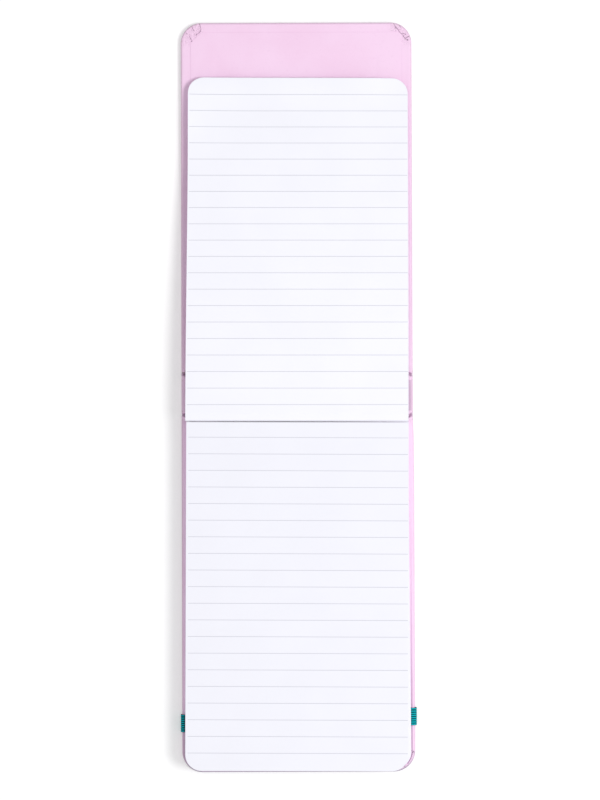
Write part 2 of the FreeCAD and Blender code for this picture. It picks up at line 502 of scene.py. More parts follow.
# By cover and by side, as distances in from the side and from the end
PLEATS = {
    ("front", -1): [
        [(7.3, 0.2), (7.6, 1.6), (7.8, 3.2), (6.9, 4.0), (5.9, 4.7)],
        [(3.3, 4.6), (3.6, 5.6), (4.4, 7.2)],
        [(4.3, 1.3), (4.6, 2.3), (5.2, 3.1)],
        [(1.9, 3.5), (2.5, 4.3)],
        [(3.9, 9.2), (4.0, 10.3)],
    ],
    ("front", 1): [
        [(7.1, 0.4), (6.5, 1.2), (6.3, 1.9), (5.2, 2.8), (4.8, 3.6), (3.9, 4.5), (3.2, 5.3), (2.5, 6.3),
         (1.5, 6.9)],
        [(3.9, 4.5), (2.8, 4.4), (2.0, 4.9)],
        [(2.5, 6.3), (1.6, 5.7), (0.8, 5.3)],
        [(6.7, 1.0), (6.2, 1.5), (5.9, 2.2), (5.3, 2.6), (5.0, 3.3)],
        [(4.9, 1.0), (4.3, 1.7)],
    ],
    ("back", 1): [
        [(0.2, 6.8), (0.4, 7.7), (1.0, 8.0), (2.6, 8.1)],
        [(1.0, 7.8), (1.5, 6.0), (1.9, 4.8), (3.0, 3.0)],
        [(2.7, 1.1), (3.4, 1.7), (4.2, 2.4)],
        [(3.4, 1.7), (2.9, 2.3)],
        [(3.7, 1.5), (4.5, 2.1)],
    ],
    ("back", -1): [
        [(7.3, 0.3), (6.8, 2.4), (5.0, 4.2)],
        [(2.6, 2.4), (3.9, 3.8)],
    ],
}
print("pleats at the corners:", sum(len(lines) for lines in PLEATS.values()))


def far_from(line, x, y):
    """Shortest distance from a point to a line of straight runs."""
    best = 1e9
    for (ax, ay), (bx, by) in zip(line, line[1:]):
        length = (bx - ax) ** 2 + (by - ay) ** 2
        t = min(max(((x - ax) * (bx - ax) + (y - ay) * (by - ay)) / length, 0.0), 1.0)
        best = min(best, math.hypot(x - ax - t * (bx - ax), y - ay - t * (by - ay)))
    return best


def grain(x, y, scale, seed):
    """Smooth noise over the paper, the same on every run."""
    return noise.noise((x * scale, y * scale, seed))


def corner_relief(cover, side, in_x, in_y):
    """Height change and painted shade at a place of a corner, given as distances in from side and end."""
    zone = math.prod(1 - smooth_share(inwards, *CORNER_FADE) for inwards in (in_x, in_y))
    if zone == 0:
        return 0.0, 0.0
    seed = 5.0 - 2.0 * side
    jag_x = in_x + PLEAT_JAG * grain(in_x, in_y, JAG_SCALE, seed)
    jag_y = in_y + PLEAT_JAG * grain(in_x, in_y, JAG_SCALE, seed + 20.0)
    near = min(far_from(line, jag_x, jag_y) for line in PLEATS[(cover, side)])
    pleat = hill(near, 0.0, PLEAT_WIDTH)
    ridge = hill(near, RIDGE_AWAY, RIDGE_WIDTH)
    crumple = grain(in_x, in_y, CRUMPLE_SCALE, seed) + 0.5 * grain(in_x, in_y, FINE_SCALE, seed)
    # Patchy painted shade over the crumpled corner
    patchy_shade = MOTTLE * max(grain(in_x, in_y, MOTTLE_SCALE, seed + 40.0), 0.0) * zone
    broken = min(0.8 + 1.2 * grain(in_x, in_y, BREAK_SCALE, seed + 60.0), 1.0)
    rise = RIDGE_LIFT * ridge - PLEAT_DEPTH * pleat + CRUMPLE * crumple * zone
    # The second value is painted shade along the pleats, broken in places, and in patches
    return rise, max(pleat * broken, patchy_shade)


# %% Say where the covering swells and where shade is painted on it


def swell(inset, along):
    """Rise of the covering beside the pad, inset from the edge and along from the spine."""
    clear_of_band = smooth_share(abs(along + band_high.y - BAND_HALF), *BAND_CLEAR_RUN)
    rise = SWELL * hill(inset, SWELL_PLACE, SWELL_WIDTH)
    return rise * smooth_share(along, *SWELL_RUN) * clear_of_band


def swell_line(inset, along):
    """Painted shade in a thin line at the inner foot of that swell."""
    line = SWELL_SHADE * hill(inset, SWELL_SHADE_PLACE, SWELL_SHADE_WIDTH)
    return line * smooth_share(along, *SWELL_SHADE_RUN)


def rim_share(inset, depth):
    """How much shade is painted over the board's rounded edge, from its deepest share at the very edge."""
    return depth * (1 - smooth_share(inset, RIM_FROM, EDGE_ROUND + RIM_FROM))


def side_depth(x):
    """That deepest share on the right or the left side; the left, away from the lamp, gets more."""
    return RIM_RIGHT if x > 0 else RIM_LEFT


def lining_line(inset):
    """Painted shade in a thin line along the lining's edge, where it steps down to the turn-in."""
    return LINING_STEP_SHADE * hill(inset, LINING_EDGE, LINING_STEP_SHADE_WIDTH)


# %% Sweep the covering round a cover


def graded(length):
    """Distances along a straight run, close together at its two ends."""
    near = [0.0, 0.25, 0.5, 0.75, 1.0, 1.3, 1.7, 2.2, 3.0, 4.5, 7.0]
    middle = 8
    inner = length - 2 * near[-1]
    line = near + [near[-1] + inner * k / middle for k in range(1, middle)]
    return line + [length - part for part in reversed(near)]


def free_edges(end):
    """Places and outward directions round a cover's free edges, close together at the corners."""
    turn_x, turn_y = case_half - CORNER, end - CORNER
    curve = 96
    side = graded(turn_y - RIGID_FROM)
    places = [(case_half, RIGID_FROM + run, 1.0, 0.0) for run in side]
    places += bend_places(turn_x, turn_y, 0.0, curve)
    places += [(turn_x - run, end, 0.0, 1.0) for run in graded(2 * turn_x)]
    places += bend_places(-turn_x, turn_y, math.pi / 2, curve)
    places += [(-case_half, turn_y - run, -1.0, 0.0) for run in side]
    return places


def bend_places(x, y, start, count):
    """Places round one corner, without its two ends."""
    places = []
    for k in range(1, count):
        angle = start + math.pi / 2 * k / count
        c, s = math.cos(angle), math.sin(angle)
        places.append((x + CORNER * c, y + CORNER * s, c, s))
    return places


def edge_section():
    """The section of the covering: distance in from the edge and height, from the inside to the underside."""
    turn = [TURN_SHOWN + (EDGE_ROUND - TURN_SHOWN) * k / TURN_STEPS for k in range(TURN_STEPS)]
    section = [(inset, wrap_top) for inset in turn]
    for middle, start in ((wrap_top - EDGE_ROUND, 90), (case_base + EDGE_ROUND, 0)):
        for k in range(EDGE_STEPS + 1):
            angle = math.radians(start - 90 * k / EDGE_STEPS)
            section.append((EDGE_ROUND - EDGE_ROUND * math.cos(angle), middle + EDGE_ROUND * math.sin(angle)))
    section += [(2.0, case_base), (4.5, case_base), (TURN_SHOWN, case_base)]
    return section


# %% Put the swept skin on both covers


def covering_at(cover, end, edge, inset, z):
    """One point of a cover's covering, and how much shade and grey shade are painted on it there."""
    x, y, nx, ny = edge
    px, py = x - inset * nx, y - inset * ny
    in_x, in_y = case_half - abs(px), end - py
    on_top = smooth_share(z, wrap_top - EDGE_ROUND, wrap_top)
    rise, pleat = corner_relief(cover, 1 if px > 0 else -1, in_x, in_y)
    straight = max(smooth_share(inwards, *STRAIGHT_FADE) for inwards in (in_x, in_y))
    # Painted shade over the rounded edges: most on the left, away from the lamp, and over the front cover's
    # far end
    end_depth = 0.0 if cover == "back" else RIM_TOP
    depth = abs(nx) * side_depth(nx) + ny * end_depth
    # Painted shade in the pleats, over the rounded edge and along the lining's edge
    painted_shade = max(pleat * on_top, rim_share(inset, depth), lining_line(inset) * on_top * straight)
    # Painted grey shade along the back cover's foot edge
    grey_shade = rim_share(inset, ny * RIM_FOOT) if cover == "back" else 0.0
    if cover == "back" and nx > 0:
        rise += swell(inset, py)
        # Painted shade in a thin line at the swell's inner foot
        painted_shade = max(painted_shade, swell_line(inset, py) * nx)
        px += SPREAD * nx * smooth_share(py, RIGID_FROM - 2, SPREAD_END)
    # Painted shade in the left foot corner
    if cover == "back" and nx < 0:
        painted_shade = max(painted_shade, FOOT_SHADE * -nx * smooth_share(py, *FOOT_SHADE_RUN) * on_top)
    return (px, py, z + rise * on_top), painted_shade, grey_shade


def cover_skin(cover, way, name):
    """The covering of one cover; way is 1 towards the top of the picture and -1 towards its foot."""
    section = edge_section()
    count = len(section)
    end = back_end if cover == "back" else case_end
    places = [covering_at(cover, end, edge, inset, z) for edge in free_edges(end) for inset, z in section]
    line = [(x, way * y, z) for (x, y, z), painted_shade, grey_shade in places]
    rows = [line[first:first + count] for first in range(0, len(line), count)]
    points, faces = loft(rows, False)
    faces.append(tuple(row * count + count - 1 for row in reversed(range(len(rows)))))
    faces = [face[::way] for face in faces]
    shares = {"painted_shade": [place[1] for place in places], "grey_shade": [place[2] for place in places]}
    skin = make_piece(name, points, faces, covering_paper, attributes=shares, thickness=SKIN)
    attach(skin, cover + "_cover")
    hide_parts(cover + "_wrap")
    print(name, "has", len(skin.data.polygons), "faces")


cover_skin("back", -1, "back_cover_paper")
cover_skin("front", 1, "front_cover_paper")

# %% [markdown]
# The spine is a narrow board under the same sheet. It has the same section at its two ends and is open
# along its two long sides, where the paper goes on into the joints, so its skin is a straight sweep.

# %% Wrap the spine board
SPINE_RIGID = node_box("spine_lining")[1].y


def spine_skin():
    half = [(case_half - inset, z) for inset, z in edge_section()]
    across = half + [(-x, z) for x, z in reversed(half)]
    steps = 6
    rows = []
    for k in range(steps + 1):
        y = -SPINE_RIGID + 2 * SPINE_RIGID * k / steps
        rows.append([(x, y, z) for x, z in across])
    points, faces = loft(rows, False)
    painted_shades = []
    for x, z in across:
        inset = case_half - abs(x)
        # Painted shade on the spine's inner right strip, beside the turned leaf
        edge_shade = SPINE_SHADE * smooth_share(inset, *SPINE_SHADE_RUN) * (x > 0) * (z > lining_top / 2)
        painted_shades.append(max(rim_share(inset, side_depth(x)), lining_line(inset), edge_shade))
    shares = {"painted_shade": painted_shades * len(rows)}
    skin = make_piece("spine_paper", points, faces, covering_paper, attributes=shares, thickness=SKIN)
    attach(skin, "spine")
    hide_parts("spine_wrap")


spine_skin()

# %% [markdown]
# Between the boards, the covering and the lining meet in a thin flexible joint. The binder rubs the
# paper down into the gap from both sides, so each joint is a groove inside and out, pinched in at the
# edge of the case, with shade painted into the groove.

# %% Form the two joints
STRIP_HALF = joint_y - SPINE_RIGID
GAP_HALF = (node_box("front_board")[0].y - node_box("spine_board")[1].y) / 2
GROOVE_OUTSIDE = 0.55
GROOVE_INSIDE = 1.42
GROOVE_HALF = 1.2
GROOVE_FLAT = 0.3
GROOVE_FLOOR = 0.35
GROOVE_SHADE = 0.4
RIM_FILL = 0.4
RIM_INSET, RIM_WIDTH = 0.3, 0.5
LINING_STEP_RUN = (lining_half - 0.05, lining_half + 0.15)
STRIP_END_RUN = 0.15
STRIP_END_HEIGHT = (case_base + wrap_top) / 2 - 0.2
OUTSIDE_STEPS, INSIDE_STEPS = 16, 32
PINCH = 0.15
PINCH_RUN = 1.5
FOLD_NEAR = 38.0
FOLD_FROM = 42.2

# Where the inner groove runs at the four ends, as (its middle under the lining's edge, its middle at the
# edge of the case, half its width)
FOLDS = {("upper", 1): (0.85, 0.35, 0.85), ("upper", -1): (0.8, 0.75, 0.95),
         ("lower", 1): (-0.6, 0.5, 0.85), ("lower", -1): (0.0, 0.4, 0.95)}


def joint_section(x, end_share, fold):
    """Loop round the strip at one place across the case: the outside first, then the inside."""
    lining_share = 1 - smooth_share(abs(x), *LINING_STEP_RUN)
    inner_edge = wrap_top + (lining_top - wrap_top) * lining_share
    rim = RIM_FILL * hill(abs(x), case_half - RIM_INSET, RIM_WIDTH)
    under_lining, at_edge, end_half = fold
    near_end = smooth_share(abs(x), FOLD_NEAR, FOLD_FROM)
    middle = under_lining + (at_edge - under_lining) * smooth_share(abs(x), FOLD_FROM, case_half)
    middle *= near_end
    half = GROOVE_HALF + (end_half - GROOVE_HALF) * near_end
    outside, inside = [], []
    for k in range(OUTSIDE_STEPS + 1):
        away = (2 * k / OUTSIDE_STEPS - 1) * STRIP_HALF
        groove = 1 - smooth_share(abs(away), GROOVE_FLAT, GAP_HALF)
        outside.append((away, case_base + GROOVE_OUTSIDE * groove, groove))
    for k in range(INSIDE_STEPS + 1):
        away = (1 - 2 * k / INSIDE_STEPS) * STRIP_HALF
        groove = 1 - smooth_share(abs(away - middle), GROOVE_FLOOR * half, half)
        groove *= smooth_share(STRIP_HALF - abs(away), 0.0, STRIP_END_RUN)
        inside.append((away, inner_edge - GROOVE_INSIDE * groove * (1 - rim), groove))
    loop = []
    for y, z, groove in outside + inside:
        pinch = PINCH * groove * smooth_share(abs(x), case_half - PINCH_RUN, case_half)
        loop.append((x - math.copysign(pinch, x), y, z + (STRIP_END_HEIGHT - z) * end_share, groove))
    return loop


def joint_stations():
    """Places across the case, and how far the strip is drawn together there to close its end."""
    ends = [(0.0, 0.85), (0.12, 0.5), (0.3, 0.22), (0.55, 0.06), (0.85, 0.0)]
    open_run = [1.2, 1.5, 1.8, 2.1, 2.4, 2.8, 3.3, 3.7, 3.78, 3.85, 3.95, 4.3, 6.0]
    right = [(case_half - inset, share) for inset, share in ends]
    right += [(case_half - inset, 0.0) for inset in open_run]
    middle_count = 24
    reach = right[-1][0]
    middle = [(reach - 2 * reach * k / middle_count, 0.0) for k in range(1, middle_count)]
    return right + middle + [(-x, share) for x, share in reversed(right)]


def joint_strip(name, way):
    """One joint; way is 1 for the upper and -1 for the lower one, which is its mirror image."""
    rows, painted_shades = [], []
    for x, end_share in joint_stations():
        under_lining, at_edge, half = FOLDS[("upper" if way > 0 else "lower", 1 if x > 0 else -1)]
        loop = joint_section(x, end_share, (way * under_lining, way * at_edge, half))
        rows.append([(px, way * (joint_y + y), z) for px, y, z, groove in loop])
        # Painted shade in the groove and over the case's rounded edge
        edge_shade = rim_share(case_half - abs(x), side_depth(x))
        painted_shades += [max(groove * GROOVE_SHADE, edge_shade) for px, y, z, groove in loop]
    points, faces = loft(rows, True)
    faces += end_caps(points, len(rows[0]))
    strip = make_piece(name, points, faces, covering_paper, 50.0, {"painted_shade": painted_shades})
    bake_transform(strip)


joint_strip("lower_joint_paper", -1)
joint_strip("upper_joint_paper", 1)
print("each joint bends over %.1f mm" % (2 * STRIP_HALF))

# %% [markdown]
# The lining is pasted over the turn-ins. Paper this thin shows what is under it: its middle sinks onto
# the board, and the inner edge of the turn-ins stays visible as a soft ridge. The outline is one flat
# face that is cut by planes where the height changes, and then each point is set to its height.

# %% Paste the linings down
LINING_THICK = 0.15
SINK = 0.5 * (wrap_top - node_box("front_board")[1].z)
TURN_IN = 12.25
TURN_IN_INNER = case_half - TURN_IN
TURN_IN_END = case_end - TURN_IN
SINK_RUN = 1.9
CORNER_CUT = {("front", -1): 4.1, ("front", 1): 0.9, ("back", -1): 2.5, ("back", 1): 2.5}


def near_step(edge, outwards):
    """Places of the cuts across the soft step at one inner edge of the turn-ins."""
    return [edge + outwards * SINK_RUN * share for share in (-1.0, -0.75, -0.5, -0.25, 0.0, 0.25)]


def lining_sheet(name, body, node, outline, step_y):
    """A lining with its edge line, sunk inside the turn-ins, closed below."""
    work = bmesh.new()
    face = work.faces.new([work.verts.new((x, y, 0.0)) for x, y in outline])
    cuts = [((x, 0, 0), (1, 0, 0)) for x in near_step(TURN_IN_INNER, 1) + near_step(-TURN_IN_INNER, -1)]
    cuts += [((x, 0, 0), (1, 0, 0)) for x in (-20, 0, 20)]
    cuts += [((0, y, 0), (0, 1, 0)) for y in step_y]
    for place, across in cuts:
        whole = work.verts[:] + work.edges[:] + work.faces[:]
        bmesh.ops.bisect_plane(work, geom=whole, plane_co=place, plane_no=across)
    work.verts.index_update()
    points = [(v.co.x, v.co.y) for v in work.verts]
    faces = [tuple(v.index for v in f.verts) for f in work.faces]
    work.free()
    heights = [lining_height(x, y, body) for x, y in points]
    placed = [(x, y, z) for (x, y), z in zip(points, heights)]
    shares = {"painted_shade": [0.0] * len(points)}
    sheet = make_piece(name, placed, faces, lining_paper, 60.0, shares, LINING_THICK)
    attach(sheet, body)
    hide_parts(node)


def board_share(place, edge):
    """1 where the lining lies on the board, 0 where it lies on the turn-in beyond the edge."""
    return 1 - smooth_share(abs(place), edge - SINK_RUN, edge + 0.25 * SINK_RUN)


def lining_height(x, y, body):
    on_board = board_share(x, TURN_IN_INNER)
    if body != "spine":
        on_board *= board_share(y, TURN_IN_END)
    return lining_top - SINK * on_board


# %% Cut out the three linings


def cover_lining_outline(cover, way):
    """A lining seen from above, with its two outer corners cut off."""
    near, far = lining_low.y, lining_high.y
    right, left = CORNER_CUT[(cover, 1)], CORNER_CUT[(cover, -1)]
    line = [(lining_half, near), (lining_half, far - right), (lining_half - right, far)]
    line += [(left - lining_half, far), (-lining_half, far - left), (-lining_half, near)]
    return [(x, way * y) for x, y in line][::way]


for cover, way in (("back", -1), ("front", 1)):
    steps = [way * y for y in near_step(TURN_IN_END, 1) + [20, 50, 80, 110]]
    outline = cover_lining_outline(cover, way)
    lining_sheet(cover + "_lining", cover + "_cover", cover + "_pastedown", outline, steps)
spine_line = [(x * lining_half, y * SPINE_RIGID) for x, y in ((1, -1), (1, 1), (-1, 1), (-1, -1))]
lining_sheet("spine_inner_lining", "spine", "spine_lining", spine_line, [0.0])
print("the linings sink %.2f mm inside the turn-ins" % SINK)

# %% [markdown]
# The pad itself is a stack of thin leaves, glued at the head. One leaf is drawn, with its round foot
# corners, and Geometry Nodes repeat it: a line of points gives each leaf its height. A pad that is bent
# open doesn't stay square. Its top leaves lie turned a little one way and the lower ones fan out the
# other way, and the lowest stay straight, pressed on the case. A seeded random share keeps the edges from
# looking cut by a machine. The glue holds the lower heads straight, so only their feet move.

# %% Draw one leaf of the pad
SHEETS = 95
SHEET_STEP = (block_high.z - block_low.z) / SHEETS
SHEET_THICK = SHEET_STEP * 0.88
PAGE_CORNER = 6.2
PAGE_CORNER_STEPS = 12
FOOT_TRIM = 0.2


def leaf_outline():
    """A leaf seen from above, its head's middle at the origin and its foot towards -Y."""
    turn_x, turn_y = page_half - PAGE_CORNER, page_length - FOOT_TRIM - PAGE_CORNER
    line = [(page_half, 0.0), (page_half, -1.0)]
    for k in range(PAGE_CORNER_STEPS + 1):
        angle = math.pi / 2 * k / PAGE_CORNER_STEPS
        line.append((turn_x + PAGE_CORNER * math.cos(angle), -turn_y - PAGE_CORNER * math.sin(angle)))
    return line + [(-x, y) for x, y in reversed(line)]


outline = leaf_outline()
points, sides = loft([[(x, y, z) for x, y in outline] for z in (0.0, SHEET_THICK)], True)
pages = make_piece("page_stack", points, end_caps(points, len(outline)) + sides, ruled_paper)
print("a leaf is %.3f mm thick" % SHEET_THICK)

# %% Prepare Geometry Nodes


def new_tree(name, inputs):
    """A Geometry Nodes tree with named inputs: its plan, its inputs' wires and their identifiers."""
    tree = bpy.data.node_groups.new(name, "GeometryNodeTree")
    tree.interface.new_socket("Geometry", in_out="INPUT", socket_type="NodeSocketGeometry")
    tree.interface.new_socket("Geometry", in_out="OUTPUT", socket_type="NodeSocketGeometry")
    identifiers = {}
    for key, kind in inputs.items():
        socket = tree.interface.new_socket(key, in_out="INPUT", socket_type=kind)
        identifiers[key] = socket.identifier
    plan = Plan(tree)
    entry = plan.add("NodeGroupInput")
    wires = {socket.name: Wire(plan, socket) for socket in entry.outputs if socket.name}
    return plan, wires, identifiers


def run_tree(piece, plan, identifiers, values):
    """Put the tree on the piece, set its inputs and keep what it makes as a plain mesh."""
    step = piece.modifiers.new("repeat", "NODES")
    step.node_group = plan.tree
    for key, value in values.items():
        step[identifiers[key]] = value
    freeze(piece)


def chance(plan, number, seed, low, high):
    """A seeded random value for each number."""
    values = {"Min_001": low, "Max_001": high, "ID": number, "Seed": seed}
    return plan.get("FunctionNodeRandomValue", {"data_type": "FLOAT"}, values, output=1)


def keep_value(plan, geometry, name, value, kind="FLOAT", domain="INSTANCE"):
    """Store a value on the geometry under a name."""
    values = {"Geometry": geometry, "Name": name, "Value": value}
    return plan.get("GeometryNodeStoreNamedAttribute", {"data_type": kind, "domain": domain}, values)


def read_value(plan, name):
    """Read a stored number again."""
    node = plan.add("GeometryNodeInputNamedAttribute", {"data_type": "FLOAT"}, {"Name": name})
    return Wire(plan, [socket for socket in node.outputs if socket.enabled][0])


def axes(plan, vector):
    """The three parts of a vector."""
    node = plan.add("ShaderNodeSeparateXYZ", None, {0: vector})
    return [Wire(plan, socket) for socket in node.outputs]


# %% Write the tree that stacks the leaves
# Between which depths each share grows from 0 to 1. The top leaf lies at 0 and the lowest at 1.
FAN_RUN = (0.0, 0.8)
PRESSED_RUN = (0.925, 0.95)
TOP_RUN = (0.12, 0.09)

plan, wires, identifiers = new_tree("stack_of_leaves", {
    "Leaves": "NodeSocketInt", "Step": "NodeSocketFloat", "Head": "NodeSocketVector",
    "Length": "NodeSocketFloat", "Top turn": "NodeSocketFloat", "Fan": "NodeSocketFloat",
    "Stray": "NodeSocketFloat", "Gutter": "NodeSocketFloat", "Print skew": "NodeSocketFloat",
    "Print shift": "NodeSocketFloat", "Seed": "NodeSocketInt", "Paper": "NodeSocketMaterial",
})
rise = plan.get("ShaderNodeCombineXYZ", None, {2: wires["Step"]})
line = {"Count": wires["Leaves"], "Start Location": wires["Head"], "Offset": rise}
heights = plan.get("GeometryNodeMeshLine", None, line)
number = plan.get("GeometryNodeInputIndex")
depth = 1 - number / (wires["Leaves"] - 1)
pressed = plan.ramp(depth, *PRESSED_RUN)
turn = (wires["Top turn"] - wires["Fan"] * plan.ramp(depth, *FAN_RUN)) * (1 - pressed)
turn = turn + chance(plan, number, wires["Seed"], -1.0, 1.0) * wires["Stray"]
stack = plan.get("GeometryNodeInstanceOnPoints", None, {"Points": heights, "Instance": wires["Geometry"]})
stack = keep_value(plan, stack, "leaf_turn", turn)
stack = keep_value(plan, stack, "near_top", plan.ramp(depth, *TOP_RUN))
stack = keep_value(plan, stack, "sheet_shade", chance(plan, number, wires["Seed"] + 1, 0.0, 1.0))
stack = plan.get("GeometryNodeRealizeInstances", None, {"Geometry": stack})
turn, top = read_value(plan, "leaf_turn"), read_value(plan, "near_top")
x, y, z = axes(plan, plan.get("GeometryNodeInputPosition"))
head = axes(plan, wires["Head"])
down = head[1] - y
down = down + top * wires["Gutter"] * (1 - down / wires["Length"])
share = plan.get("ShaderNodeMath", {"operation": "MAXIMUM"}, {0: top, 1: down / wires["Length"]})
across = x - head[0]
printed = {0: across - wires["Print shift"], 1: down - across * wires["Print skew"]}
printed = plan.get("ShaderNodeCombineXYZ", None, printed)
stack = keep_value(plan, stack, "leaf_place", printed, "FLOAT_VECTOR", "POINT")
moved = {0: x - turn * down, 1: head[1] - down - turn * across * share, 2: z}
moved = plan.get("ShaderNodeCombineXYZ", None, moved)
stack = plan.get("GeometryNodeSetPosition", None, {"Geometry": stack, "Position": moved})
stack = plan.get("GeometryNodeSetMaterial", None, {"Geometry": stack, "Material": wires["Paper"]})
plan.add("NodeGroupOutput", None, {0: stack})

# %% Stack the leaves
STACK_RIGHT = 0.1
TOP_TURN = 0.0055
FAN = 0.0112
STRAY = 0.0004
GUTTER = 0.2
PRINT_SKEW = 0.0018
PRINT_SHIFT = 0.28

run_tree(pages, plan, identifiers, {
    "Leaves": SHEETS, "Step": SHEET_STEP * MM, "Head": (STACK_RIGHT * MM, head_y * MM, block_low.z * MM),
    "Length": page_length * MM, "Top turn": TOP_TURN, "Fan": FAN, "Stray": STRAY, "Gutter": GUTTER * MM,
    "Print skew": PRINT_SKEW, "Print shift": PRINT_SHIFT * MM, "Seed": 7, "Paper": ruled_paper,
})
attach(pages, "back_cover")
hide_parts("page_block")
print("the pad has", SHEETS, "leaves and", len(pages.data.polygons), "faces")

# %% [markdown]
# The glue is brushed over the heads of the stacked leaves. It follows the brush in soft waves, and it
# stops a few millimetres below the top leaf, where the turned leaf comes up out of the pad and leaves a
# fine dark gap to the next page.

# %% Brush the glue on
GLUE_BELOW_TOP = 3.0
GLUE_SIDE = 0.2
GLUE_FOOT = 0.05
GLUE_COAT = 0.1
GLUE_ROUND = 0.6
GLUE_LEVELS = 14
GLUE_STATIONS = 84
glue_low, glue_high = node_box("head_glue")


def glue_section(x):
    """Loop round the glue at one place across the head."""
    top = block_high.z - GLUE_BELOW_TOP + 0.05 * noise.noise((x * 0.6, 0.0, 5.0))
    bottom = glue_low.z + GLUE_FOOT
    thick = glue_high.y - glue_low.y
    loop = [(x, glue_low.y, bottom), (x, glue_low.y, top)]
    for k in range(GLUE_LEVELS + 1):
        z = top + (bottom - top) * k / GLUE_LEVELS
        wave = 0.75 + 0.25 * noise.noise((x * 0.35, z * 0.9, 1.0))
        round_off = GLUE_ROUND if k in (0, GLUE_LEVELS) else 1.0
        loop.append((x, glue_low.y + (thick * wave - TOP_TURN * x + GLUE_COAT) * round_off, z))
    return loop


first = glue_low.x + GLUE_SIDE
across = glue_high.x - glue_low.x - 2 * GLUE_SIDE
rows = [glue_section(first + across * k / GLUE_STATIONS) for k in range(GLUE_STATIONS + 1)]
points, faces = loft(rows, True)
faces += end_caps(points, len(rows[0]))
glue = make_piece("brushed_glue", points, faces, binding_glue)
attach(glue, "back_cover")
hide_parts("head_glue")
print("the glue stops %.2f mm below the top leaf" % GLUE_BELOW_TOP)

# %% [markdown]
# One leaf is turned over. It comes up out of the glued head, hangs over the spine in one long easy curve
# and touches the front cover only near its free end. That is the curve of a strip that is held level at
# one end and rests on the other, and it has a formula, so the sheet follows it and no cloth simulation is
# needed. Its free edge and its left side stay a little up, which gives the dark line round its end.

# %% Bend the turned leaf
LEAF_START = 0.24
LEAF_TURN = 0.0046
ROOT_TURN = -0.0003
ROOT_TURN_RUN = 3.0
PRINT_TURN = 0.0016
PRINT_BACK = 0.31
PRINT_WIDER = 0.13
PRINT_RIGHT = 0.15
CREST = 0.2
CREST_PLACE, CREST_RUN = 3.0, 2.4
ROOT_DIP = 0.54
ROOT_DIP_SLANT = 0.06
ROOT_DIP_RUN = 0.28
EDGE_LIFT = 1.5
RIGHT_DOWN = 0.85
RIGHT_DOWN_RUN = (0.6, 0.95)
SIDE_LIFT = 2.5
SIDE_LIFT_PLACE = page_length - 12.0
LIFT_RUN = 14.0
LEFT_CURL = (-0.27, 0.46)
LEFT_CURL_RUN = 100.0
LEAF_CORNER_STEPS = 18
LEAF_STEPS = 84
ACROSS = 20

leaf_start = head_y + LEAF_START
leaf_rest = leaf_low.z
leaf_drop = block_high.z - leaf_rest


def leaf_curve(s):
    """Place and steepness of the leaf's underside, s along it from the glued head."""
    u = s / page_length
    shorter = leaf_drop ** 2 / (2 * page_length) * (3 * u ** 3 - 2.25 * u ** 4 + 0.45 * u ** 5)
    steep = math.atan(leaf_drop / page_length * (3 * u - 1.5 * u ** 2))
    return leaf_start + s - shorter, block_high.z - leaf_drop * (1.5 * u ** 2 - 0.5 * u ** 3), steep


def leaf_rows():
    """Distance along the leaf and its half width there, with the two round free corners."""
    near = [0.0, 0.08, 0.16, 0.25, 0.36, 0.5, 0.7, 1.0, 1.4, 2.0, 2.8, 3.8]
    far = page_length - PAGE_CORNER
    rows = [(s, page_half) for s in near]
    rows += [(near[-1] + (far - near[-1]) * k / LEAF_STEPS, page_half) for k in range(1, LEAF_STEPS)]
    for k in range(LEAF_CORNER_STEPS + 1):
        angle = math.pi / 2 * k / LEAF_CORNER_STEPS
        s = far + PAGE_CORNER * math.sin(angle)
        rows.append((s, page_half - PAGE_CORNER + PAGE_CORNER * math.cos(angle)))
    return rows


def leaf_point(x, s, over):
    """A point of the leaf, x across it, s along it and over above its underside."""
    y, z, steep = leaf_curve(s)
    across = x / page_half
    dip = (ROOT_DIP - ROOT_DIP_SLANT * across) * hill(s, 0.0, ROOT_DIP_RUN)
    crest = CREST * hill(s, CREST_PLACE, CREST_RUN)
    end = smooth_share(s, page_length - LIFT_RUN, page_length)
    edge = EDGE_LIFT * end * (1 - RIGHT_DOWN * smooth_share(across, *RIGHT_DOWN_RUN))
    side = SIDE_LIFT * max(-across, 0.0) ** 4 * hill(s, SIDE_LIFT_PLACE, LIFT_RUN)
    z += crest - dip + edge + side + over * math.cos(steep)
    turn = LEAF_TURN + ROOT_TURN * math.exp(-s / ROOT_TURN_RUN)
    x += (LEFT_CURL[0] + LEFT_CURL[1] * smooth_share(s, 0.0, LEFT_CURL_RUN)) * max(-across, 0.0)
    return x + LEAF_TURN * s, y + over * math.sin(steep) - turn * x, z


# %% Give the leaf its two sides and its edge
rule_reach = page_half - RULE_MARGIN
points, places = [], []
for over in (0.0, leaf_thick):
    for s, half in leaf_rows():
        for k in range(ACROSS + 1):
            x = half * (2 * k / ACROSS - 1)
            points.append(leaf_point(x, s, over))
            wide = (x - PRINT_RIGHT) * rule_reach / (rule_reach + PRINT_WIDER)
            places.append((wide * MM, (s - PRINT_BACK - PRINT_TURN * x) * MM, 0.0))
row_count, width = len(leaf_rows()), ACROSS + 1
layer = row_count * width
faces = []
for row in range(row_count - 1):
    for k in range(ACROSS):
        a = row * width + k
        faces.append((a, a + 1, a + 1 + width, a + width))
        faces.append((a + layer, a + 1 + layer, a + 1 + width + layer, a + width + layer))
border = [row * width for row in range(row_count)]
border += [(row_count - 1) * width + k for k in range(1, width)]
border += [row * width + width - 1 for row in range(row_count - 2, -1, -1)]
border += list(range(width - 2, 0, -1))
for a, b in zip(border, border[1:] + border[:1]):
    faces.append((a, b, b + layer, a + layer))
shares = {"leaf_place": places, "sheet_shade": [0.0] * len(points)}
leaf = make_piece("turned_over_leaf", points, faces, ruled_paper, attributes=shares)
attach(leaf, "back_cover")
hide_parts("turned_leaf")
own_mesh(leaf)
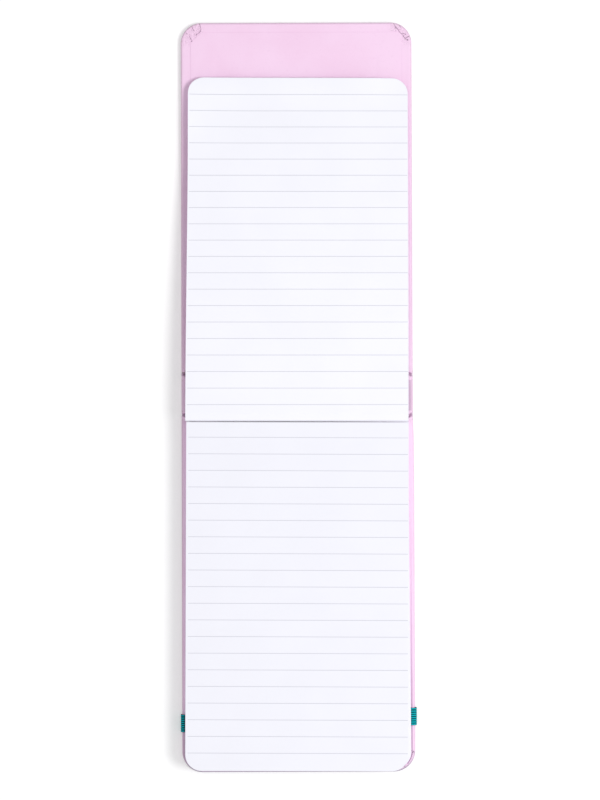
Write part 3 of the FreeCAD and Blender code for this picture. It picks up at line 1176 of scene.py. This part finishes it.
print("the leaf comes down %.2f mm in %.1f mm" % (leaf_drop, page_length))

# %% [markdown]
# The elastic is sewn flat and pasted under the lining on both sides of the back cover. From there it
# comes out beside the pages, goes over the edge and round under the cover. Its cords run lengthwise, so
# one cord is swept along that path, and Geometry Nodes lay eight of them side by side.

# %% Sweep one cord of the elastic
CORDS = 8
BAND_WIDTH = 6.75
BAND_THICK = 0.6
BAND_SKEW = 1.2
BAND_DOWN = 0.34
BAND_MIDDLE = (band_low.y + band_high.y) / 2 - BAND_DOWN
CORD_STEP = BAND_WIDTH / CORDS
TAB_END = 35.5
RIGHT_SLACK = 0.5
CORD_OVERLAP = 1.05
CORD_POINTS = 12
EDGE_BEND = 0.95
UNDER_BEND = 0.4
PAGE_SHADE_RUN = (page_half + 0.8, page_half + 1.4)


def arc(x, z, radius, first_deg, last_deg, steps):
    """Places round a bend, its two ends included."""
    angles = [math.radians(first_deg + (last_deg - first_deg) * k / steps) for k in range(steps + 1)]
    return [(x + radius * math.cos(angle), z + radius * math.sin(angle)) for angle in angles]


def half_band(slack):
    """The middle of half the band seen from the foot, from its tab round to the middle of the underside."""
    side, low = band_high.x + slack - BAND_THICK / 2, case_base / 2
    over, hidden = wrap_top + BAND_THICK / 2, wrap_top - BAND_THICK / 2
    half = [(TAB_END, hidden), (39.0, hidden), (page_half - 0.7, hidden), (page_half - 0.1, hidden + 0.12),
            (page_half + 0.25, hidden + 0.4), (page_half + 0.55, over - 0.04), (page_half + 0.9, over)]
    half += arc(side - EDGE_BEND, over - EDGE_BEND, EDGE_BEND, 90, 0, 8)
    half += arc(side - UNDER_BEND, low + UNDER_BEND, UNDER_BEND, 0, -90, 6)
    return half + [(30.0, low), (15.0, low), (0.0, low)]


path = half_band(RIGHT_SLACK) + [(-x, z) for x, z in reversed(half_band(0.0)[:-1])]
loop = []
for k in range(CORD_POINTS):
    angle = 2 * math.pi * (k + 0.5) / CORD_POINTS
    c, s = math.cos(angle), math.sin(angle)
    loop.append((c * CORD_OVERLAP * CORD_STEP / 2, math.copysign(abs(s) ** 0.8, s) * BAND_THICK / 2))
widest = max(wide for wide, out in loop)
rows, runs, sides = [], [], []
run = 0.0
for k, (x, z) in enumerate(path):
    ahead, behind = path[min(k + 1, len(path) - 1)], path[max(k - 1, 0)]
    tx, tz = ahead[0] - behind[0], ahead[1] - behind[1]
    length = math.hypot(tx, tz)
    nx, nz = -tz / length, tx / length
    run += math.hypot(x - behind[0], z - behind[1])
    rows.append([(x + nx * out, BAND_SKEW * x / case_half + wide, z + nz * out) for wide, out in loop])
    runs += [run * MM] * len(loop)
    # Painted shadow of the pages on the left, shaded end of the elastic
    page_shadow = (1 - smooth_share(-x, *PAGE_SHADE_RUN)) * (x < 0)
    sides += [max(abs(wide) / widest, page_shadow) for wide, out in loop]
points, faces = loft(rows, True)
faces += end_caps(points, len(loop))
shares = {"thread_run": runs, "cord_shade": sides}
band = make_piece("ribbed_elastic", points, faces, woven_elastic, 60.0, shares)

# %% Lay the cords side by side
CORD_WANDER = 0.03

plan, wires, identifiers = new_tree("cords_of_elastic", {
    "Cords": "NodeSocketInt", "Step": "NodeSocketFloat", "First": "NodeSocketVector", "Seed": "NodeSocketInt",
    "Thread": "NodeSocketMaterial",
})
spread = plan.get("ShaderNodeCombineXYZ", None, {1: wires["Step"]})
line = {"Count": wires["Cords"], "Start Location": wires["First"], "Offset": spread}
line = plan.get("GeometryNodeMeshLine", None, line)
number = plan.get("GeometryNodeInputIndex")
wander = chance(plan, number, wires["Seed"], -CORD_WANDER * MM, CORD_WANDER * MM)
shift = plan.get("ShaderNodeCombineXYZ", None, {1: wander})
line = plan.get("GeometryNodeSetPosition", None, {"Geometry": line, "Offset": shift})
cords = plan.get("GeometryNodeInstanceOnPoints", None, {"Points": line, "Instance": wires["Geometry"]})
cords = plan.get("GeometryNodeRealizeInstances", None, {"Geometry": cords})
cords = plan.get("GeometryNodeSetMaterial", None, {"Geometry": cords, "Material": wires["Thread"]})
plan.add("NodeGroupOutput", None, {0: cords})
run_tree(band, plan, identifiers, {
    "Cords": CORDS, "Step": CORD_STEP * MM, "Seed": 3, "Thread": woven_elastic,
    "First": (0.0, (BAND_MIDDLE - BAND_WIDTH / 2 + CORD_STEP / 2) * MM, 0.0),
})
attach(band, "back_cover")
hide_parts("elastic_band")
print("the band has", CORDS, "cords of %.2f mm" % CORD_STEP)

# %% [markdown]
# The pad lies on a white sweep under one large soft lamp from the right and an even sky. The lamp is set
# so that a level surface gets one unit of light in all, which shows a colour as it is written. The floor
# gets its last bit of white only for the camera and for reflections, so it keeps the soft shadow and
# throws no extra light on the pad.

# %% Lay the floor
FLOOR_HALF = 3.0
FLOOR_GLOW = 0.33

mesh = bpy.data.meshes.new("floor")
corners = [(x * FLOOR_HALF, y * FLOOR_HALF, 0) for x, y in ((-1, -1), (1, -1), (1, 1), (-1, 1))]
mesh.from_pydata(corners, [], [(0, 1, 2, 3)])
floor = bpy.data.objects.new("floor", mesh)
bpy.context.scene.collection.objects.link(floor)


def seen(plan):
    """1 for camera, mirror and see-through rays, 0 for the rays that carry the light."""
    rays = plan.add("ShaderNodeLightPath")
    names = ("Is Camera Ray", "Is Glossy Ray", "Is Transmission Ray")
    camera, glossy, through = (Wire(plan, rays.outputs[name]) for name in names)
    return camera + glossy + through


def white_floor(plan, place):
    grain = plan.noise(place, 120.0, 2.0)
    colour = plan.tint(grain, (0.74, 0.74, 0.74, 1), (0.75, 0.75, 0.75, 1))
    glow = seen(plan) * FLOOR_GLOW
    light = plan.tint(glow, (0, 0, 0, 1), (1, 1, 1, 1))
    return {"Base Color": colour, "Roughness": 0.9, "Specular IOR Level": 0.0, "Emission Color": light,
            "Emission Strength": 1.0}


mesh.materials.append(finish("white_floor", white_floor))

# %% Light the scene
SKY = 0.61
LAMP_POWER = 8.0
LAMP_ELEVATION = 64.0
LAMP_TURN = -12.0
LAMP_AWAY = 1.3
LAMP_SIZE = 0.42

world = bpy.data.worlds.new("even_sky")
bpy.context.scene.world = world
world.use_nodes = True
plan = Plan(world.node_tree)
strength = seen(plan) * (1 - SKY) + SKY
sky = plan.get("ShaderNodeBackground", None, {"Color": (1, 1, 1, 1), "Strength": strength})
plan.add("ShaderNodeOutputWorld", None, {"Surface": sky})

lamp = bpy.data.lights.new("soft_lamp", "AREA")
lamp.shape = "DISK"
lamp.size = LAMP_SIZE
lamp.energy = LAMP_POWER
rise = math.radians(LAMP_ELEVATION)
aside = math.radians(LAMP_TURN)
towards = Vector((math.cos(rise) * math.cos(aside), math.cos(rise) * math.sin(aside), math.sin(rise)))
holder = bpy.data.objects.new("soft_lamp", lamp)
holder.location = towards * LAMP_AWAY
holder.rotation_mode = "QUATERNION"
holder.rotation_quaternion = towards.to_track_quat("Z", "Y")
bpy.context.scene.collection.objects.link(holder)
bpy.context.scene.view_settings.view_transform = "Standard"
print("the lamp stands %.1f m away, %.0f degrees up" % (LAMP_AWAY, LAMP_ELEVATION))

# %% [markdown]
# The picture was taken from almost straight above. Its distance, tilt and turn were fitted to the rules
# on the pages and to the edges of the case, so that the camera sees every line where it should be.

# %% Set up the camera
IMAGE_HEIGHT = 800
CAMERA_AWAY = 1.2
FOCAL_PIXELS = 3116.1
AIM = Vector((1.083, -1.795, 8.0)) * MM
TILT, YAW, ROLL = -0.022466, 0.002064, 0.003164

to_camera = Matrix.Rotation(ROLL, 3, "Z") @ Matrix.Rotation(YAW, 3, "Y") @ Matrix.Rotation(TILT, 3, "X")
from_camera = to_camera.transposed()
lens = bpy.data.cameras.new("camera")
lens.sensor_width = 36.0
lens.lens = FOCAL_PIXELS * lens.sensor_width / IMAGE_HEIGHT
lens.clip_start, lens.clip_end = 0.05, 20.0
camera = bpy.data.objects.new("camera", lens)
place = AIM + from_camera @ Vector((0, 0, CAMERA_AWAY))
camera.matrix_world = Matrix.Translation(place) @ from_camera.to_4x4()
bpy.context.scene.collection.objects.link(camera)
bpy.context.scene.camera = camera
print("camera at", [round(part, 4) for part in place], "lens %.1f mm" % lens.lens)
